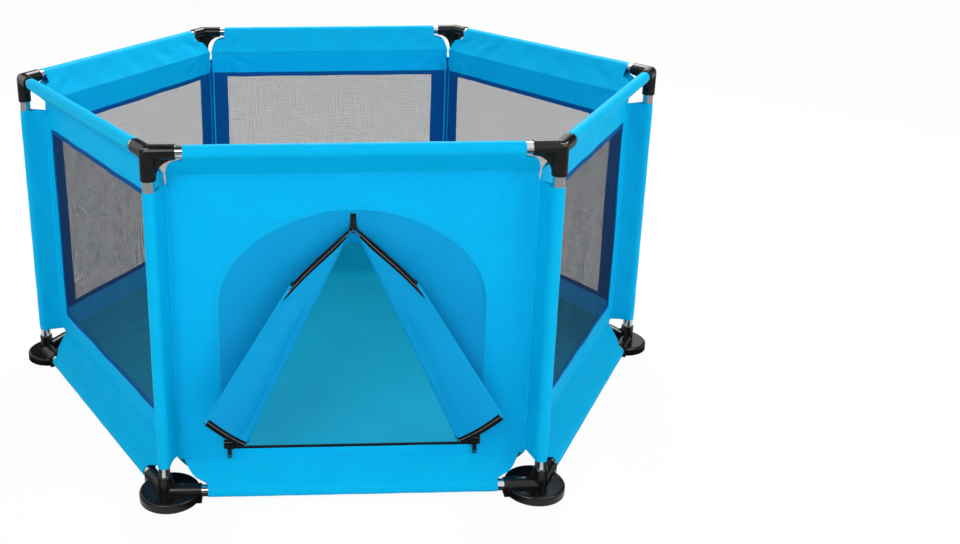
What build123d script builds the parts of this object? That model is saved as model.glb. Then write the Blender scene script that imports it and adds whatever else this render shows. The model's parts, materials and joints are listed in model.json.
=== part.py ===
"""Hexagonal play pen: plugged steel tubes, moulded corners and feet, and a sewn cloth bag with a zipped door.

Millimetres, +Z up. The origin is on the floor in the middle of the pen, and the door side faces -Y.
"""
import os
from math import asin, cos, degrees, hypot, radians, sin, sqrt

from build123d import *

# Tube frame
side_length = 640.0          # post axis to post axis
bottom_rail_z = 17.0
top_rail_z = 617.0
tube_dia = 20.0
tube_wall = 1.0
tube_fit = 0.15              # radial play of a tube in its socket
socket_wall = 2.4
tube_stop = 15.0             # end of a rail tube from its corner's centre
post_stop = 9.0              # end of a post past the rail's axis, inside the moulding
web_thick = 5.0

# Top corner moulding
corner_arm = 44.0
corner_drop = 46.0
corner_web_radius = 30.0
corner_edge = 1.0

# Foot moulding
foot_dia = 104.0
foot_thick = 16.0
foot_edge_round = 5.0
foot_offset = 12.0           # disc centre towards the middle of the pen
foot_arm = 62.0
foot_socket_top = 48.0
foot_web_radius = 17.0
foot_rim = 5.0
foot_recess = 4.0
foot_rib = 3.0

# Sewn cloth
cloth = 1.2
sleeve_play = 0.5            # radial play of a tube in its sleeve
seam_gap = 0.3
seam_width = 4.8             # doubled cloth where a loop's layers meet
loop_pinch = 0.3             # half the loop's room at that seam
bag_inset = 35.0             # bag wall inside the plane of the rails
top_seam_drop = 46.0         # seam below the top rail's axis
bottom_seam_rise = 40.0      # seam above the bottom rail's axis
top_sleeve_end = 55.0        # sleeve ends, from the post's axis
bottom_sleeve_end = 73.0
top_mouth_flare = 24.0       # how much wider a sleeve is at its seam, at each end
bottom_mouth_flare = 40.0
mouth_start = 18.0           # where that starts, from the rail's axis
mouth_bow = 4.0
post_sleeve_drop = 64.0      # post sleeve's ends, from the rails' axes
post_sleeve_rise = 48.0
wall_edge_gap = 1.2          # wall edge to the bag's corner line
corner_cut_bow = 1.5

# Window
window_margin = 52.0         # from the wall's edge
window_bottom_z = 112.0
window_top_z = 500.0
net_border = 9.0
net_strand = 6.0
net_thick = 0.8
net_columns = 9
net_rows = 6

# Floor cloth
floor_lift = 0.6
floor_turn_in = 45.0         # from the wall to where the cloth lies flat

# Door
door_half_width = 222.0
door_top_z = 508.0
door_crown_radius = 262.0
door_corner_radius = 140.0
zip_top_z = 496.0
zip_line_z = 81.0
fold_foot_x = 190.0          # where a flap's first fold meets the sill zip
tip_foot_x = 78.0            # where its second fold meets it
tip_start = 140.0            # second fold's start, down the upright zip
flap_angle = 146.0           # how far an open flap is turned out
tip_angle = 178.0            # how far its tip is tucked under
fold_offset = 2.1            # fold axis in front of the cloth's middle
fold_gap = 1.5
fold_roll_r = 1.8            # cloth rolled up in a fold
roll_head = 45.0             # the roll's ends, from the fold's ends
roll_foot = 20.0

# Zip
zip_gap = 2.4
tape_width = 7.0
teeth_width = 2.4
teeth_thick = 3.0
tape_fold_gap = 8.0
zip_end_low = 489.0          # joined upper end of the upright zip
zip_end_high = 503.0

# Slider and pull
slider_length = 15.0
slider_wide = 11.0
slider_narrow = 8.0
slider_plate = 1.5
slider_play = 0.3
bridge_width = 1.6
bridge_length = 4.0
crown_width = 2.4
crown_length = 9.0
crown_wall = 1.2
pull_width = 7.0
pull_length = 21.0
pull_thick = 1.4
pull_bar = 1.4
pull_play = 0.3
pull_hole_radius = 1.9
slider_from_end = 11.0       # slider's centre from the end of the sill zip

tube_r = tube_dia / 2
bore_r = tube_r + tube_fit
socket_r = bore_r + socket_wall
rail_y = -side_length * sqrt(3) / 2
wall_y = rail_y + bag_inset
bag_corner = -wall_y / cos(radians(30))
top_seam_z = top_rail_z - top_seam_drop
bottom_seam_z = bottom_rail_z + bottom_seam_rise
sleeve_r = tube_r + sleeve_play
wall_half = bag_corner / 2 - wall_edge_gap
window_half_width = wall_half - window_margin
post_sleeve_top = top_rail_z - post_sleeve_drop
post_sleeve_bottom = bottom_rail_z + post_sleeve_rise

corner_names = ["front_left", "front_right", "right", "rear_right", "rear_left", "left"]
side_names = ["front", "front_right", "rear_right", "rear", "rear_left", "front_left"]
rail_turns = (60, -60)

# Door lines in the wall's plane, left half, as (x, z)
zip_top = (0.0, zip_top_z)
fold_foot = (-fold_foot_x, zip_line_z)
tip_foot = (-tip_foot_x, zip_line_z)
tip_head = (0.0, zip_top_z - tip_start)
zip_foot = (0.0, zip_line_z)
tape_reach = zip_gap / 2 + tape_width

floor_align = (Align.CENTER, Align.CENTER, Align.MIN)


def group(shapes):
    """Separate solids that share a node."""
    return Compound(children=shapes)


def at_corner(index):
    """Place of a corner: its local +X points to the middle of the pen."""
    turn = 240 + 60 * index
    return Pos(side_length * cos(radians(turn)), side_length * sin(radians(turn)), 0) * Rot(0, 0, turn + 180)


def at_side(index):
    """Turn that carries what is drawn on the front side to another side."""
    return Rot(0, 0, 60 * index)


def tube(length):
    """A tube standing on the origin."""
    outer = Cylinder(tube_r, length, align=floor_align)
    return outer - Cylinder(tube_r - tube_wall, length, align=floor_align)


def rail(z):
    """Front rail, which stops inside the mouldings at its ends."""
    half = side_length / 2 - tube_stop
    return Pos(-half, rail_y, z) * Rot(0, 90, 0) * tube(2 * half)


def post():
    """Post with its axis on the corner, pushed in past both rails' axes."""
    low = bottom_rail_z - post_stop
    return Pos(0, 0, low) * tube(top_rail_z + post_stop - low)


def along_arm(turn, z):
    """Frame at height z whose +Z runs out along a rail."""
    return Pos(0, 0, z) * Rot(0, 0, turn) * Rot(0, 90, 0)


def web(half_angle, radius):
    """Plate with a hollow edge that fills the inside corner between two sockets, either side of +X."""
    reach = (radius + socket_r) / sin(radians(half_angle))
    side = reach * cos(radians(half_angle))
    x, y = side * cos(radians(half_angle)), side * sin(radians(half_angle))
    kite = make_face(Polyline((0, 0), (x, -y), (reach, 0), (x, y), close=True))
    return extrude(kite - Pos(reach, 0) * Circle(radius), web_thick / 2, both=True)


def upright_web(turn, z, radius, up):
    """Web between a rail's socket and the post's socket, above or below the rail."""
    return Pos(0, 0, z) * Rot(0, 0, turn) * Rot(90, 0, 0) * Rot(0, 0, 45 * up) * web(45, radius)


def top_corner():
    """Three-way moulding: two rail sockets, a post socket and the webs between them."""
    body = Pos(0, 0, top_rail_z) * Sphere(socket_r)
    body += Pos(0, 0, top_rail_z - corner_drop) * Cylinder(socket_r, corner_drop, align=floor_align)
    for turn in rail_turns:
        arm = along_arm(turn, top_rail_z)
        body += arm * Cylinder(socket_r, corner_arm, align=floor_align)
        body += upright_web(turn, top_rail_z, corner_web_radius, -1)
    body += Pos(0, 0, top_rail_z) * web(60, corner_web_radius)
    mouths = body.edges().filter_by(GeomType.CIRCLE).filter_by(lambda e: abs(e.radius - socket_r) < 1e-4)
    ends = [e for e in mouths if e.is_closed]
    body = chamfer(ends, corner_edge)
    bore_top = top_rail_z + post_stop
    low = top_rail_z - corner_drop
    body -= Pos(0, 0, low) * Cylinder(bore_r, bore_top - low, align=floor_align)
    for turn in rail_turns:
        bore = Pos(0, 0, tube_stop) * Cylinder(bore_r, corner_arm - tube_stop, align=floor_align)
        body -= along_arm(turn, top_rail_z) * bore
    return body


def foot_base():
    """Round base with a rolled top edge, hollow below with a rim and spokes."""
    base = Cylinder(foot_dia / 2, foot_thick, align=floor_align)
    base = fillet(base.edges().group_by(Axis.Z)[-1], foot_edge_round)
    hollow = Cylinder(foot_dia / 2 - foot_rim, foot_recess, align=floor_align)
    for turn in (0, 60, 120):
        hollow -= Rot(0, 0, turn) * Box(foot_dia, foot_rib, 2 * foot_recess)
    return base, hollow


def foot():
    """Foot moulding: base, half-round rail arms, post socket and webs."""
    base, hollow = foot_base()
    body = Pos(foot_offset, 0, 0) * base
    body += Cylinder(socket_r, foot_socket_top, align=floor_align)
    arm_cut = []
    for turn in rail_turns:
        body += along_arm(turn, bottom_rail_z) * Cylinder(socket_r, foot_arm, align=floor_align)
        skirt = Pos(foot_arm / 2, 0, 0) * Box(foot_arm, 2 * socket_r, bottom_rail_z, align=floor_align)
        body += Rot(0, 0, turn) * skirt
        body += upright_web(turn, bottom_rail_z, foot_web_radius, 1)
        bore = Pos(0, 0, tube_stop) * Cylinder(bore_r, foot_arm - tube_stop, align=floor_align)
        arm_cut.append(along_arm(turn, bottom_rail_z) * bore)
    floor = bottom_rail_z - post_stop
    body -= Pos(0, 0, floor) * Cylinder(bore_r, foot_socket_top - floor, align=floor_align)
    for cut in arm_cut:
        body -= cut
    return body - Pos(foot_offset, 0, 0) * hollow


def loop_section(tube_at, seam_at):
    """Cloth loop round a tube, drawn in to a seam, in a plane's own coordinates."""
    span = hypot(seam_at[0] - tube_at[0], seam_at[1] - tube_at[1])
    mouth = (span - seam_width) / span
    inner_end = [a + mouth * (b - a) for a, b in zip(tube_at, seam_at)]
    outer = make_hull(circles(tube_at, sleeve_r + cloth, seam_at, cloth))
    return outer - make_hull(circles(tube_at, sleeve_r, inner_end, loop_pinch))


def circles(first, first_r, second, second_r):
    """Edges of two circles."""
    edges = (Pos(*first) * Circle(first_r)).edges()
    return edges + (Pos(*second) * Circle(second_r)).edges()


def sleeve_mouth(rail_z, seam_z, half, flare):
    """What is cut off a sleeve's end: upright at the tube, then hollowed out to the wider seam."""
    way = 1 if seam_z > rail_z else -1
    start, back = (half, rail_z + way * mouth_start), rail_z - way * mouth_start
    far = half + 2 * flare
    lines = [
        bowed(start, (half + flare, seam_z), way * mouth_bow),
        Polyline((half + flare, seam_z), (far, seam_z), (far, back), (half, back), start),
    ]
    return Pos(0, rail_y, 0) * extrude(Plane.XZ * make_face(lines), 2 * bag_inset, both=True)


def rail_sleeve(rail_z, seam_z, end, flare):
    """Sleeve on a front rail, sewn to the wall at its seam."""
    section = Plane.YZ * loop_section((rail_y, rail_z), (wall_y, seam_z))
    half = side_length / 2 - end
    mouth = sleeve_mouth(rail_z, seam_z, half, flare)
    return extrude(section, half + flare, both=True) - mouth - mirror(mouth, Plane.YZ)


def post_sleeve():
    """Sleeve on a post: its seam runs down the corner of the bag."""
    section = loop_section((0, 0), (side_length - bag_corner - cloth - seam_gap, 0))
    return Pos(0, 0, post_sleeve_bottom) * extrude(section, post_sleeve_top - post_sleeve_bottom)


def upright_plate(face, thick):
    """A flat piece in the front wall's plane, from a face drawn in X and Z."""
    return Pos(0, wall_y, 0) * extrude(Plane.XZ * face, thick / 2, both=True)


def bowed(start, end, bow):
    """Arc from start to end that stands off the straight line by bow, to its left."""
    length = hypot(end[0] - start[0], end[1] - start[1])
    normal = (-(end[1] - start[1]) / length, (end[0] - start[0]) / length)
    middle = tuple((a + b) / 2 + bow * n for a, b, n in zip(start, end, normal))
    return ThreePointArc(start, middle, end)


def wall_face():
    """Outline of one bag wall, with its corners cut back round the mouldings."""
    top = side_length / 2 - top_sleeve_end + top_mouth_flare
    low = side_length / 2 - bottom_sleeve_end + bottom_mouth_flare
    lines = [
        Line((-top, top_seam_z), (top, top_seam_z)),
        bowed((top, top_seam_z), (wall_half, post_sleeve_top), -corner_cut_bow),
        Line((wall_half, post_sleeve_top), (wall_half, post_sleeve_bottom)),
        bowed((wall_half, post_sleeve_bottom), (low, bottom_seam_z), -corner_cut_bow),
        Line((low, bottom_seam_z), (-low, bottom_seam_z)),
        bowed((-low, bottom_seam_z), (-wall_half, post_sleeve_bottom), -corner_cut_bow),
        Line((-wall_half, post_sleeve_bottom), (-wall_half, post_sleeve_top)),
        bowed((-wall_half, post_sleeve_top), (-top, top_seam_z), -corner_cut_bow),
    ]
    return make_face(lines)


def wall(opening):
    """Bag wall with an opening, and its sleeves on the top and bottom rails."""
    body = upright_plate(wall_face() - opening, cloth)
    body += rail_sleeve(top_rail_z, top_seam_z, top_sleeve_end, top_mouth_flare)
    return body + rail_sleeve(bottom_rail_z, bottom_seam_z, bottom_sleeve_end, bottom_mouth_flare)


def rectangle(low, high):
    """Face between two corners."""
    centre = [(a + b) / 2 for a, b in zip(low, high)]
    return Pos(*centre) * Rectangle(high[0] - low[0], high[1] - low[1])


def window_face(grow):
    """The window's outline, grown or shrunk."""
    low = (-window_half_width - grow, window_bottom_z - grow)
    return rectangle(low, (window_half_width + grow, window_top_z + grow))


def window_net():
    """Net that fills the window: one holed sheet, coarser than the woven one."""
    width = 2 * (window_half_width - seam_gap - net_border)
    height = window_top_z - window_bottom_z - 2 * (seam_gap + net_border)
    step_x, step_z = width / net_columns, height / net_rows
    gap = Rectangle(step_x - net_strand, step_z - net_strand)
    middle_z = (window_top_z + window_bottom_z) / 2
    gaps = Pos(0, middle_z) * GridLocations(step_x, step_z, net_columns, net_rows) * gap
    return upright_plate(window_face(-seam_gap) - gaps, net_thick)


def hexagon(apothem, z):
    """Hexagon with a flat side to the front."""
    return Pos(0, 0, z) * RegularPolygon(apothem, 6, major_radius=False)


def floor_sheet():
    """Floor cloth: it lies flat in the middle and turns up to the walls' bottom seams."""
    rim = -wall_y - cloth - seam_gap
    flat = rim - floor_turn_in
    top = bottom_seam_z
    outer = loft([hexagon(flat, floor_lift), hexagon(rim, top)], ruled=True)
    inner = loft([hexagon(flat, floor_lift + cloth), hexagon(rim, top + cloth)], ruled=True)
    return outer - inner


def arch_face(grow):
    """The door's outline: upright sides, round shoulders and a gently curved crown."""
    half, shoulder = door_half_width + grow, door_corner_radius + grow
    crown = door_crown_radius + grow
    shoulder_x = door_half_width - door_corner_radius
    crown_z = door_top_z - door_crown_radius
    reach = door_crown_radius - door_corner_radius
    shoulder_z = crown_z + sqrt(reach**2 - shoulder_x**2)
    lean = degrees(asin(shoulder_x / reach))
    base = zip_line_z - tape_reach - seam_gap - grow
    meet = (crown * sin(radians(lean)), crown_z + crown * cos(radians(lean)))
    half_turn = radians((90 - lean) / 2)
    bend = (shoulder_x + shoulder * cos(half_turn), shoulder_z + shoulder * sin(half_turn))
    flip = lambda p: (-p[0], p[1])
    lines = [
        Line((-half, base), (half, base)),
        Line((half, base), (half, shoulder_z)),
        ThreePointArc((half, shoulder_z), bend, meet),
        ThreePointArc(meet, (0, door_top_z + grow), flip(meet)),
        ThreePointArc(flip(meet), flip(bend), (-half, shoulder_z)),
        Line((-half, shoulder_z), (-half, base)),
    ]
    return make_face(lines)


def inset(points, gaps):
    """Polygon whose sides, each from a point to the next, are moved inwards by their gaps."""
    count = len(points)
    area = sum(points[i - 1][0] * points[i][1] - points[i][0] * points[i - 1][1] for i in range(count))
    inwards = 1 if area > 0 else -1
    sides = []
    for i in range(count):
        (ax, ay), (bx, by) = points[i], points[(i + 1) % count]
        length = hypot(bx - ax, by - ay)
        dx, dy = (bx - ax) / length, (by - ay) / length
        sides.append((ax - inwards * dy * gaps[i], ay + inwards * dx * gaps[i], dx, dy))
    corners = []
    for i in range(count):
        ax, ay, adx, ady = sides[i - 1]
        bx, by, bdx, bdy = sides[i]
        along = ((bx - ax) * bdy - (by - ay) * bdx) / (adx * bdy - ady * bdx)
        corners.append((ax + along * adx, ay + along * ady))
    return make_face(Polyline(*corners, close=True))


def door_surround():
    """The door's fixed cloth, outside the flaps' first folds."""
    reach = tape_reach + seam_gap
    mirror_foot = (fold_foot_x, zip_line_z)
    doorway = inset([zip_top, fold_foot, mirror_foot], [0, reach, 0])
    above_sill = rectangle((-door_half_width, zip_line_z + reach), (door_half_width, door_top_z))
    outline = (arch_face(-seam_gap) & above_sill) - doorway - zip_end(seam_gap)
    roll = fold_roll(zip_top, fold_foot)
    return upright_plate(outline, cloth) + roll + mirror(roll, Plane.YZ)


def zip_end(grow):
    """Outline of the joined upper end of the upright zip."""
    half = zip_gap / 2 + teeth_width + grow
    return rectangle((-half, zip_end_low - grow), (half, zip_end_high + grow))


def fold_roll(head, foot):
    """Round roll of cloth along the middle of a fold, on the fold's axis."""
    axis = fold_axis(head, foot)
    length = hypot(foot[0] - head[0], foot[1] - head[1]) - roll_head - roll_foot
    start = axis.position + axis.direction * roll_head
    return Plane(start, z_dir=axis.direction) * Cylinder(fold_roll_r, length, align=floor_align)


def zip_strip(zone, strip, teeth):
    """One side of a zip: flat tape with a thicker row of teeth along its edge."""
    return upright_plate(zone & strip, cloth) + upright_plate(zone & teeth, teeth_thick)


def upright_strip(width):
    """Band along the left side of the upright zip."""
    return rectangle((-zip_gap / 2 - width, zip_line_z), (0, zip_top_z))


def sill_strip(width):
    """Band along the upper side of the sill zip, on the left."""
    return rectangle((-door_half_width, zip_line_z), (0, zip_line_z + zip_gap / 2 + width))


def fold_axis(head, foot):
    """Axis of a fold that runs down the door's cloth."""
    start = Vector(head[0], wall_y - fold_offset, head[1])
    return Axis(start, Vector(foot[0] - head[0], 0, foot[1] - head[1]))


first_fold = fold_axis(zip_top, fold_foot)
second_fold = fold_axis(tip_head, tip_foot)


def turned_out(shape):
    """An open flap, turned out about its first fold."""
    return shape.rotate(first_fold, flap_angle)


def tucked(shape):
    """An open flap's tip, tucked under the flap and turned out with it."""
    return turned_out(shape.rotate(second_fold, tip_angle))


flap_points = [zip_top, fold_foot, tip_foot, tip_head]
tip_points = [tip_head, tip_foot, zip_foot]


def flap():
    """Left flap between its two folds."""
    reach = tape_reach + seam_gap
    plate = upright_plate(inset(flap_points, [fold_gap, reach, 0, reach]), cloth)
    return turned_out(plate + fold_roll(tip_head, tip_foot))


def flap_tip():
    """Left flap past its second fold."""
    reach = tape_reach + seam_gap
    return tucked(upright_plate(inset(tip_points, [fold_gap, reach, reach]), cloth))


def flap_zip():
    """Zip halves on the left flap: the top of the upright one and its stretch of the sill's."""
    half = zip_gap / 2
    zone = inset(flap_points, [tape_fold_gap, half, fold_gap, half])
    upright = zip_strip(zone, upright_strip(tape_width), upright_strip(teeth_width))
    sill = zip_strip(zone, sill_strip(tape_width), sill_strip(teeth_width))
    return turned_out(group([upright, sill]))


def tip_zip():
    """Zip halves on the left flap's tip, which meet at its corner."""
    half = zip_gap / 2
    zone = inset(tip_points, [fold_gap, half, half])
    upright = zip_strip(zone, upright_strip(tape_width), upright_strip(teeth_width))
    return tucked(upright + zip_strip(zone, sill_strip(tape_width), sill_strip(teeth_width)))


def fixed_zips():
    """The sill's own zip half, the fixed ends of the door's half, and the upright zip's upper end."""
    end = door_half_width - seam_gap
    top = zip_line_z - zip_gap / 2
    zone = rectangle((-end, top - tape_width), (end, top))
    lower = zip_strip(zone, zone, rectangle((-end, top - teeth_width), (end, top)))
    low = zip_line_z + zip_gap / 2
    stub = rectangle((-end, low), (-fold_foot_x - tape_fold_gap, low + tape_width))
    left = zip_strip(stub, sill_strip(tape_width), sill_strip(teeth_width))
    return group([lower, left, mirror(left, Plane.YZ), upright_plate(zip_end(0), teeth_thick)])


slider_half = teeth_thick / 2 + slider_play
slider_front = slider_half + slider_plate
pull_pivot = slider_front + pull_play + pull_bar / 2 * sqrt(2)
crown_reach = pull_pivot + pull_play + pull_bar / 2 * sqrt(2)


def slider(turn):
    """Zip slider: two plates joined by a bridge at the wide end, and a crown that holds the pull."""
    wide, narrow, half = slider_wide / 2, slider_narrow / 2, slider_length / 2
    shape = Polygon((-wide, half), (-narrow, -half), (narrow, -half), (wide, half), align=None)
    shape = fillet(shape.vertices(), narrow / 2)
    plate = extrude(Plane.XZ * shape, slider_plate)
    body = Pos(0, -slider_half, 0) * plate + Pos(0, slider_front, 0) * plate
    body += Pos(0, 0, half - bridge_length) * Box(bridge_width, 2 * slider_front, bridge_length)
    body = Rot(0, turn, 0) * body
    height = crown_reach + crown_wall - slider_front
    crown = Pos(0, -slider_front - height / 2, 0) * Box(crown_width, height, crown_length)
    slot = crown_reach - slider_front
    crown -= Pos(0, -slider_front - slot / 2, 0) * Box(crown_width, slot, crown_length - 2 * crown_wall)
    return body + crown


def pull():
    """Pull tab that hangs on the crown, with a window round it and a hole near its end."""
    window = crown_length / 2 + crown_wall + pull_play
    top = pull_bar / 2
    blank = rectangle((-pull_width / 2, top - pull_length), (pull_width / 2, top))
    blank = fillet(blank.vertices(), pull_bar)
    half = crown_width / 2 + pull_play
    blank -= rectangle((-half, -top - window), (half, -top))
    blank -= Pos(0, top - pull_length + 2 * pull_hole_radius) * Circle(pull_hole_radius)
    return Pos(0, -pull_pivot, 0) * extrude(Plane.XZ * blank, pull_thick / 2, both=True)


sill_slider_x = door_half_width - slider_from_end
slider_places = {
    "door": (180, (0.0, wall_y, zip_top_z - slider_length / 2)),
    "left": (90, (-sill_slider_x, wall_y, zip_line_z)),
    "right": (-90, (sill_slider_x, wall_y, zip_line_z)),
}


def build():
    """Every node of the pen, by name."""
    nodes = {}
    foot_shape, corner_shape, post_shape = foot(), top_corner(), post()
    for index, name in enumerate(corner_names):
        place = at_corner(index)
        nodes[f"foot_{name}"] = place * foot_shape
        nodes[f"top_corner_{name}"] = place * corner_shape
        nodes[f"post_{name}"] = place * post_shape
    sleeve = post_sleeve()
    nodes["post_sleeves"] = group([at_corner(index) * sleeve for index in range(6)])
    window_wall, net = wall(window_face(0)), window_net()
    for index, name in enumerate(side_names):
        place = at_side(index)
        nodes[f"top_rail_{name}"] = place * rail(top_rail_z)
        nodes[f"bottom_rail_{name}"] = place * rail(bottom_rail_z)
        if name == "front":
            nodes["door_wall"] = wall(arch_face(0))
        else:
            nodes[f"window_wall_{name}"] = place * window_wall
            nodes[f"window_net_{name}"] = place * net
    nodes["floor_sheet"] = floor_sheet()
    nodes["door_surround"] = door_surround()
    nodes["fixed_zips"] = fixed_zips()
    left_door = {"flap": flap(), "flap_tip": flap_tip(), "flap_zip": flap_zip(), "tip_zip": tip_zip()}
    for name, shape in left_door.items():
        nodes[f"left_{name}"] = shape
        nodes[f"right_{name}"] = mirror(shape, Plane.YZ)
    pull_shape = pull()
    for name, (turn, place) in slider_places.items():
        nodes[f"{name}_slider"] = Pos(*place) * slider(turn)
        nodes[f"{name}_pull"] = Pos(*place) * pull_shape
    return nodes


if __name__ == "__main__":
    os.makedirs("parts", exist_ok=True)
    for node, shape in build().items():
        export_step(shape, f"parts/{node}.step")
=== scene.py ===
# %% [markdown]
# # A hexagonal play pen
# The pen is a frame of chromed tubes that plug into black mouldings, with a sewn bag of blue cloth slipped over it.
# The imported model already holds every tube, moulding and zip slider at its true size, so those solids stay and only
# get a finish. Everything that was cut from cloth, net or tape is made again here as soft goods.

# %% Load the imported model
import json
from math import acos, asin, atan2, ceil, cos, hypot, pi, radians, sin, sqrt

import bpy
import numpy as np
from mathutils import Matrix, Vector
from numpy.linalg import norm

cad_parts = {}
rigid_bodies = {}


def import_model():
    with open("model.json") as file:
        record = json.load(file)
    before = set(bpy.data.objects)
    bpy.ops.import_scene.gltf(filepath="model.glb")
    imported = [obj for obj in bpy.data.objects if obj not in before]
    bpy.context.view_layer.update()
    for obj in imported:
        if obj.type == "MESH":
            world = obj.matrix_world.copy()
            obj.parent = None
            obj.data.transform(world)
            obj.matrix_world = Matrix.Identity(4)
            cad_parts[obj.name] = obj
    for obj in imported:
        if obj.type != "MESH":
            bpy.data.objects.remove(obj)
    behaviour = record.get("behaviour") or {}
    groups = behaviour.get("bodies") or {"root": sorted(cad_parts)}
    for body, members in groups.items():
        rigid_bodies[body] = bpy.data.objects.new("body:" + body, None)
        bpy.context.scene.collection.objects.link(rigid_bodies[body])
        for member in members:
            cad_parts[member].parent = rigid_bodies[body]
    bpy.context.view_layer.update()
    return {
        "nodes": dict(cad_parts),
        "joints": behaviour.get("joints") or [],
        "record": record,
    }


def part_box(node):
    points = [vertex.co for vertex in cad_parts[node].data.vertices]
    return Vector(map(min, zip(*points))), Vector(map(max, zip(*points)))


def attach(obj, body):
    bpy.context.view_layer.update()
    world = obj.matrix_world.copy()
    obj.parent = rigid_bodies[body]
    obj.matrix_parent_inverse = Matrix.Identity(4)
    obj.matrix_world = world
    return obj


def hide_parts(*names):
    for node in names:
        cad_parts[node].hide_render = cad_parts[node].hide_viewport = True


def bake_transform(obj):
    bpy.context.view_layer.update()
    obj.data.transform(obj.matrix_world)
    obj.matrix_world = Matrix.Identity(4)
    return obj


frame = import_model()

scene = bpy.context.scene
mm = 0.001

# %% [markdown]
# ## Sizes read from the frame
# A tailor measures the frame before cutting cloth. The same is done here: rails, wall plane and window come from
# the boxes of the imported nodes, and only the seam allowances are written as numbers. The windows are a little larger
# than the solid nets, as in the picture.

# %% Measure the frame
def middle(node):
    low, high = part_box(node)
    return (low + high) / 2


rail_low, rail_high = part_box("top_rail_front")
tube_r = (rail_high.z - rail_low.z) / 2
rail_y, top_rail_z = middle("top_rail_front").yz
bottom_rail_z = middle("bottom_rail_front").z
side = -rail_y * 2 / sqrt(3)
wall_y = -middle("window_net_rear").y
wall_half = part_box("window_wall_rear")[1].x
window_low, window_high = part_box("window_net_rear")
edge_gap = 0.3 * mm
window_wider, window_taller = 16 * mm, 14 * mm
window_half = window_high.x + window_wider
window_bottom, window_top = window_low.z - edge_gap, window_high.z + window_taller
top_seam = top_rail_z - 46 * mm
bottom_seam = bottom_rail_z + 40 * mm
top_sleeve_half = side / 2 - 55 * mm
bottom_sleeve_half = side / 2 - 73 * mm
top_flare, bottom_flare, flare_start = 33 * mm, 42 * mm, 16 * mm
top_bow, bottom_bow = 0.22, 0.4
post_sleeve_low, post_sleeve_high = (corner.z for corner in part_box("post_sleeves"))
bag_corner = -wall_y / cos(radians(30))
side_names = ["front", "front_right", "rear_right", "rear", "rear_left", "front_left"]
print("side", round(side, 3), "wall plane", round(wall_y, 4), "seams", round(top_seam, 3), round(bottom_seam, 3))

# %% [markdown]
# ## Camera
# The picture was taken from a little above, in front of the door, with the pen left of the middle. The lens shift
# only moves the pen to that place in the frame. The picture is taken to be 960 by 544 pixels.

# %% Set up the camera
image_width, image_height = 960, 544
sensor_mm, focal_px = 36, 1061.9
centre_px = (320.0, 180.0)
yaw, pitch, roll = radians(1.485), radians(17.434), radians(-0.31)
camera_place = (-0.0948, -2.1279, 1.0632)
camera_data = bpy.data.cameras.new("photo_camera")
camera = bpy.data.objects.new("photo_camera", camera_data)
scene.collection.objects.link(camera)
camera_data.sensor_width = sensor_mm
camera_data.lens = sensor_mm * focal_px / image_width
camera_data.shift_x = (image_width / 2 - centre_px[0]) / image_width
camera_data.shift_y = (centre_px[1] - image_height / 2) / image_width
forward = Vector((sin(yaw) * cos(pitch), cos(yaw) * cos(pitch), -sin(pitch)))
level = Vector((cos(yaw), -sin(yaw), 0))
upward = level.cross(forward)
right = level * cos(roll) + upward * sin(roll)
turn = Matrix((right, right.cross(forward), -forward)).transposed()
camera.matrix_world = Matrix.Translation(camera_place) @ turn.to_4x4()
scene.camera = camera
print("lens", round(camera_data.lens, 1), "shift", round(camera_data.shift_x, 3), round(camera_data.shift_y, 3))

# %% [markdown]
# ## Nodes and colours
# Colours are picked as sRGB hex, as on a colour card, and shaders want linear values. One function turns them. A few
# more add a node with its settings and links, so that a material reads as a recipe.

# %% Colour and node helpers
def linear(hex_code):
    parts = [int(hex_code[i:i + 2], 16) / 255 for i in (1, 3, 5)]
    return tuple(c / 12.92 if c <= 0.04045 else ((c + 0.055) / 1.055) ** 2.4 for c in parts) + (1.0,)


def connect(tree, node, inputs):
    """Fills a node's inputs: a socket is linked, and any other value is written in."""
    for name, value in inputs.items():
        if isinstance(value, bpy.types.NodeSocket):
            tree.links.new(value, node.inputs[name])
        else:
            node.inputs[name].default_value = value


def add(tree, kind, inputs=None, **settings):
    node = tree.nodes.new(kind)
    for name, value in settings.items():
        setattr(node, name, value)
    connect(tree, node, inputs or {})
    return node


def reckon(tree, operation, *values):
    return add(tree, "ShaderNodeMath", dict(enumerate(values)), operation=operation).outputs[0]


def noise(tree, vector, size, detail):
    """Noise with grains of a size in metres."""
    return add(tree, "ShaderNodeTexNoise", {"Vector": vector, "Scale": 1 / size, "Detail": detail}).outputs["Fac"]


def mapped(tree, value, low, high, source=(0.0, 1.0)):
    limits = {"From Min": source[0], "From Max": source[1], "To Min": low, "To Max": high}
    return add(tree, "ShaderNodeMapRange", {"Value": value} | limits).outputs[0]


def toned(tree, share, shade, light):
    colours = {"Factor": share, 6: linear(shade), 7: linear(light)}
    return add(tree, "ShaderNodeMix", colours, data_type="RGBA").outputs[2]


def bumped(tree, height, strength, distance):
    return add(tree, "ShaderNodeBump", {"Height": height, "Strength": strength, "Distance": distance}).outputs[0]


def new_finish(name):
    finish = bpy.data.materials.new(name)
    finish.use_nodes = True
    tree = finish.node_tree
    return finish, tree, tree.nodes["Principled BSDF"]


def wave_scale(period):
    """Scale of a wave texture whose bands are a period in metres apart."""
    return 2 * pi / 20 / period


print("middle grey is", round(linear("#808080")[0], 3), "as linear light")

# %% [markdown]
# ## Floor and light
# The pen stands on a white sweep in soft light. The floor shows the camera a share of plain white, and the rest is
# lit, so it is white with a faint shadow. Two large soft lamps in front give the sleeves of cloth their long
# highlights, and one behind shines down into the pen.

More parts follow.
